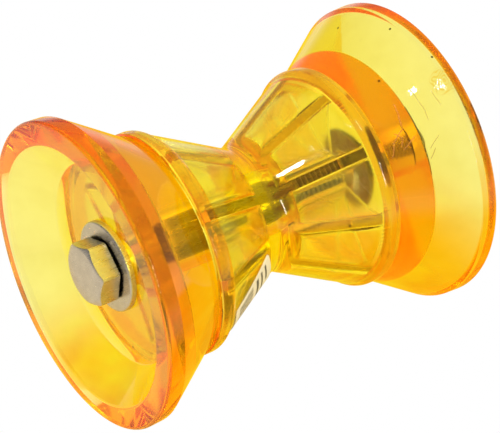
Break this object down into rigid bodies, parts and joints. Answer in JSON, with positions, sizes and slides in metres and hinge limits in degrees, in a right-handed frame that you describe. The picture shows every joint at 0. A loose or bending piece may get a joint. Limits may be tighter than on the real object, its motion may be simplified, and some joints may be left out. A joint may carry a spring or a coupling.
{
  "type": "boat trailer roller",
  "caption": "Bow roller for a boat trailer: a ribbed hourglass roller between two cup-shaped end bells, all clear amber plastic, turning on one hex bolt.",
  "frame": {"origin": "on the roller's axis, in the plane of the rim that the head side bell stands on", "axes": "+Z along the bolt from its head towards the nut; -Y is the side that the picture's camera is on"},
  "size_m": [0.1018, 0.1018, 0.1302],
  "materials": {
    "amber": "clear amber moulded plastic, glossy with fine handling scratches",
    "plated_steel": "zinc plated steel, lightly scratched",
    "label_paper": "cream adhesive label with plain dark bars"
  },
  "bodies": {
    "shaft": {"hex_bolt": "plated_steel", "hex_nut": "plated_steel", "head_washer": "plated_steel", "nut_washer": "plated_steel"},
    "roller": {"centre_roller": "amber", "label": "label_paper"},
    "head_bell": {"head_side_bell": "amber"},
    "nut_bell": {"nut_side_bell": "amber"}
  },
  "joints": [
    {"name": "roller_spin", "type": "hinge", "parent": "shaft", "child": "roller", "pos_m": [0, 0, 0.0628], "axis": [0, 0, 1], "continuous": true},
    {"name": "head_bell_spin", "type": "hinge", "parent": "shaft", "child": "head_bell", "pos_m": [0, 0, 0.02], "axis": [0, 0, 1], "continuous": true},
    {"name": "nut_bell_spin", "type": "hinge", "parent": "shaft", "child": "nut_bell", "pos_m": [0, 0, 0.1056], "axis": [0, 0, 1], "continuous": true}
  ]
}
